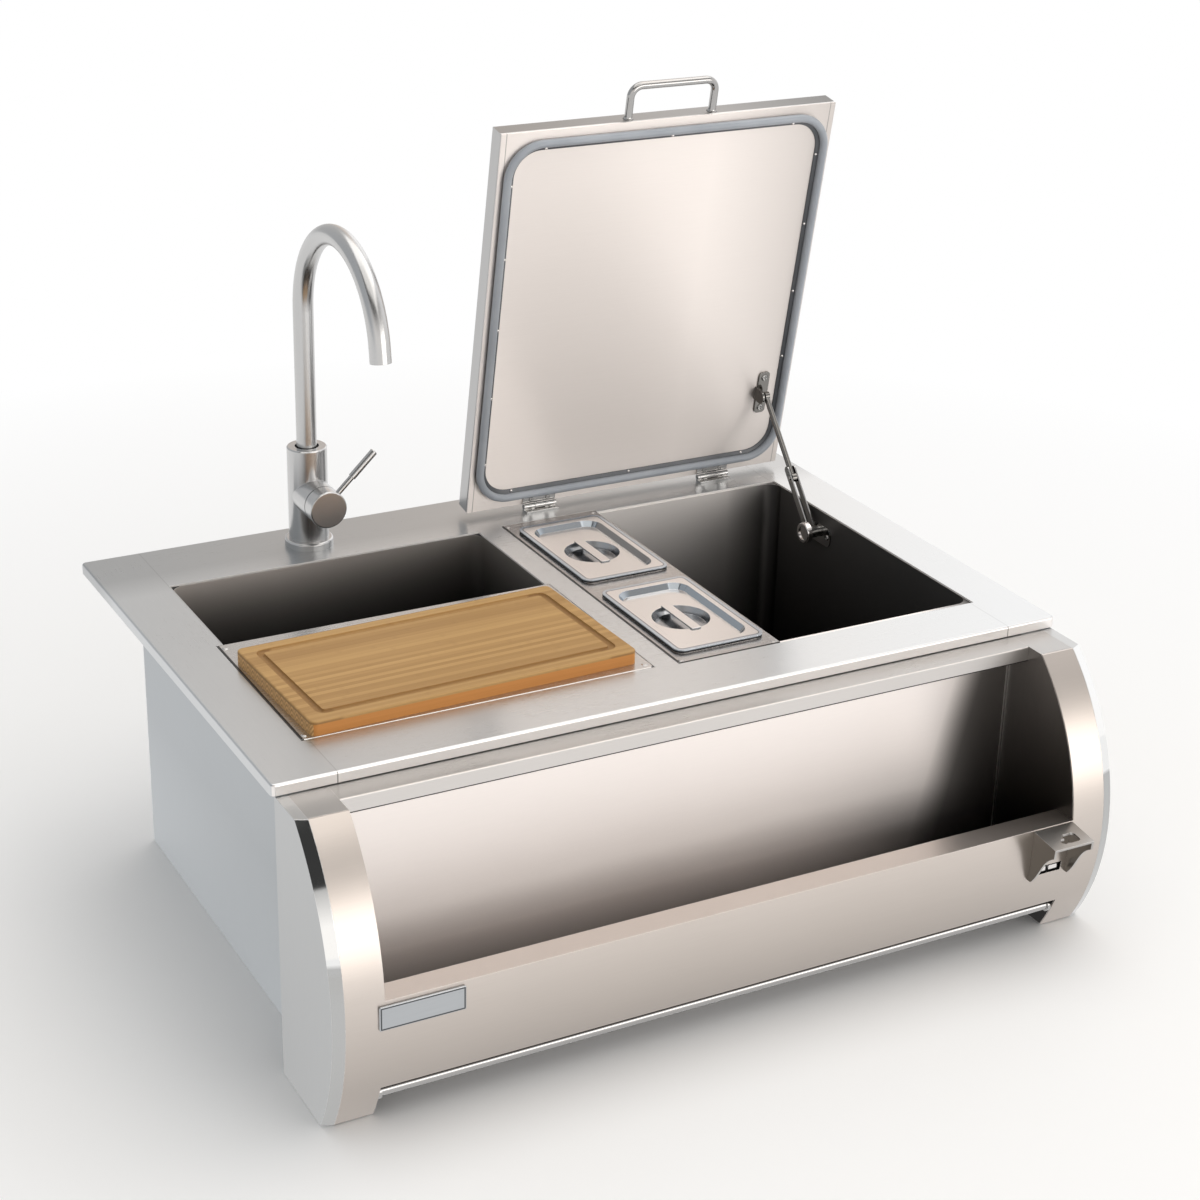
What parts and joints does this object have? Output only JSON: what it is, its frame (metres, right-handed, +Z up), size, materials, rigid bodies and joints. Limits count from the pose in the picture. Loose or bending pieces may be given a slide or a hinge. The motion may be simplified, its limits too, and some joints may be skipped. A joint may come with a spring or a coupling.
{
  "type": "outdoor beverage center",
  "caption": "Drop-in stainless bar station with sink and gooseneck tap, lidded ice bin, condiment pans, cutting board tray and a curved front bottle trough with opener and towel bar.",
  "frame": {"origin": "middle of the flat bottom of the cabinet jacket", "axes": "+Z up, +X to the user's right along the front, +Y from the bottle trough to the rear edge"},
  "size_m": [0.912, 0.763, 0.8455],
  "materials": {
    "brushed_sheet": "brushed",
    "polished_steel": "polished",
    "tap_steel": "satin",
    "fitting_metal": "plain",
    "stay_steel": "bright",
    "plate_metal": "satin",
    "backing_dark": "matt",
    "aerator_plastic": "matt",
    "gasket_rubber": "matt",
    "bamboo": "oiled",
    "foam": "foam"
  },
  "bodies": {
    "cabinet": {"deck_panel": "brushed_sheet", "jacket": "brushed_sheet", "sink_basin": "brushed_sheet", "sink_drain": "fitting_metal", "sink_drain_nut": "fitting_metal", "sink_tailpiece": "fitting_metal", "bin_liner": "brushed_sheet", "bin_drain": "fitting_metal", "bin_drain_nut": "fitting_metal", "bin_insulation": "foam", "front_skin": "brushed_sheet", "left_end_cap": "polished_steel", "right_end_cap": "polished_steel", "left_cheek": "brushed_sheet", "right_cheek": "brushed_sheet", "apron": "brushed_sheet", "trough": "brushed_sheet", "towel_bar": "polished_steel", "bottle_opener": "polished_steel", "opener_backing": "backing_dark", "front_plate": "plate_metal", "tap_ring": "tap_steel", "tap_body": "tap_steel", "tap_shank": "fitting_metal", "tap_nut": "fitting_metal", "hinge_deck_leaves": "polished_steel", "hinge_pins": "polished_steel", "hinge_deck_screws": "polished_steel", "stay_wall_bracket": "stay_steel", "stay_wall_screws": "polished_steel"},
    "spout": {"spout": "tap_steel", "aerator": "aerator_plastic"},
    "valve": {"valve_cap": "tap_steel"},
    "lever": {"lever": "tap_steel"},
    "lid": {"lid_outer": "brushed_sheet", "lid_inner": "brushed_sheet", "lid_insulation": "foam", "gasket": "gasket_rubber", "gasket_rivets": "polished_steel", "lid_handle": "polished_steel", "hinge_lid_leaves": "polished_steel", "hinge_lid_screws": "polished_steel", "stay_lid_bracket": "stay_steel", "stay_lid_screws": "polished_steel"},
    "stay_rod": {"stay_rod": "stay_steel"},
    "stay_arm": {"stay_arm_fork": "stay_steel", "stay_disc": "stay_steel"},
    "tray": {"board_tray": "brushed_sheet"},
    "board": {"cutting_board": "bamboo"},
    "condiment": {"condiment_panel": "brushed_sheet"},
    "pan_rear": {"pan_rear": "polished_steel"},
    "pan_front": {"pan_front": "polished_steel"},
    "pan_lid_rear": {"pan_lid_rear": "polished_steel", "pan_bar_rear": "polished_steel"},
    "pan_lid_front": {"pan_lid_front": "polished_steel", "pan_bar_front": "polished_steel"}
  },
  "joints": [
    {"name": "lid_hinge", "type": "hinge", "parent": "cabinet", "child": "lid", "pos_m": [0.21, 0.269, 0.3285], "axis": [-1, 0, 0], "range_deg": [-79.56, 0]},
    {"name": "stay_arm_pivot", "type": "hinge", "parent": "cabinet", "child": "stay_arm", "pos_m": [0.387, 0.126, 0.295], "axis": [-1, 0, 0], "range_deg": [-124.78, 0]},
    {"name": "stay_rod_pivot", "type": "hinge", "parent": "lid", "child": "stay_rod", "pos_m": [0.387, 0.24241, 0.43199], "axis": [-1, 0, 0], "range_deg": [0, 119.04]},
    {"name": "spout_swivel", "type": "hinge", "parent": "cabinet", "child": "spout", "pos_m": [-0.2015, 0.2833, 0.449], "axis": [0, 0, 1], "range_deg": [-55, 55]},
    {"name": "valve_turn", "type": "hinge", "parent": "cabinet", "child": "valve", "pos_m": [-0.2015, 0.2333, 0.3865], "axis": [0, -1, 0], "range_deg": [0, 92]},
    {"name": "lever_tilt", "type": "hinge", "parent": "valve", "child": "lever", "pos_m": [-0.19718, 0.2298, 0.39067], "axis": [0.6947, 0, -0.7193], "range_deg": [0, 12]},
    {"name": "tray_lift", "type": "slide", "parent": "cabinet", "child": "tray", "axis": [0, 0, 1], "range_m": [0, 0.12]},
    {"name": "board_lift", "type": "slide", "parent": "tray", "child": "board", "axis": [0, 0, 1], "range_m": [0, 0.12]},
    {"name": "condiment_lift", "type": "slide", "parent": "cabinet", "child": "condiment", "axis": [0, 0, 1], "range_m": [0, 0.05]},
    {"name": "pan_rear_lift", "type": "slide", "parent": "condiment", "child": "pan_rear", "axis": [0, 0, 1], "range_m": [0, 0.105]},
    {"name": "pan_front_lift", "type": "slide", "parent": "condiment", "child": "pan_front", "axis": [0, 0, 1], "range_m": [0, 0.105]},
    {"name": "pan_lid_rear_lift", "type": "slide", "parent": "pan_rear", "child": "pan_lid_rear", "axis": [0, 0, 1], "range_m": [0, 0.04]},
    {"name": "pan_lid_front_lift", "type": "slide", "parent": "pan_front", "child": "pan_lid_front", "axis": [0, 0, 1], "range_m": [0, 0.04]}
  ],
  "couplings": [
    {"joint": "stay_arm_pivot", "follows": "lid_hinge", "ratio": 1.5683},
    {"joint": "stay_rod_pivot", "follows": "lid_hinge", "ratio": -1.4962}
  ]
}
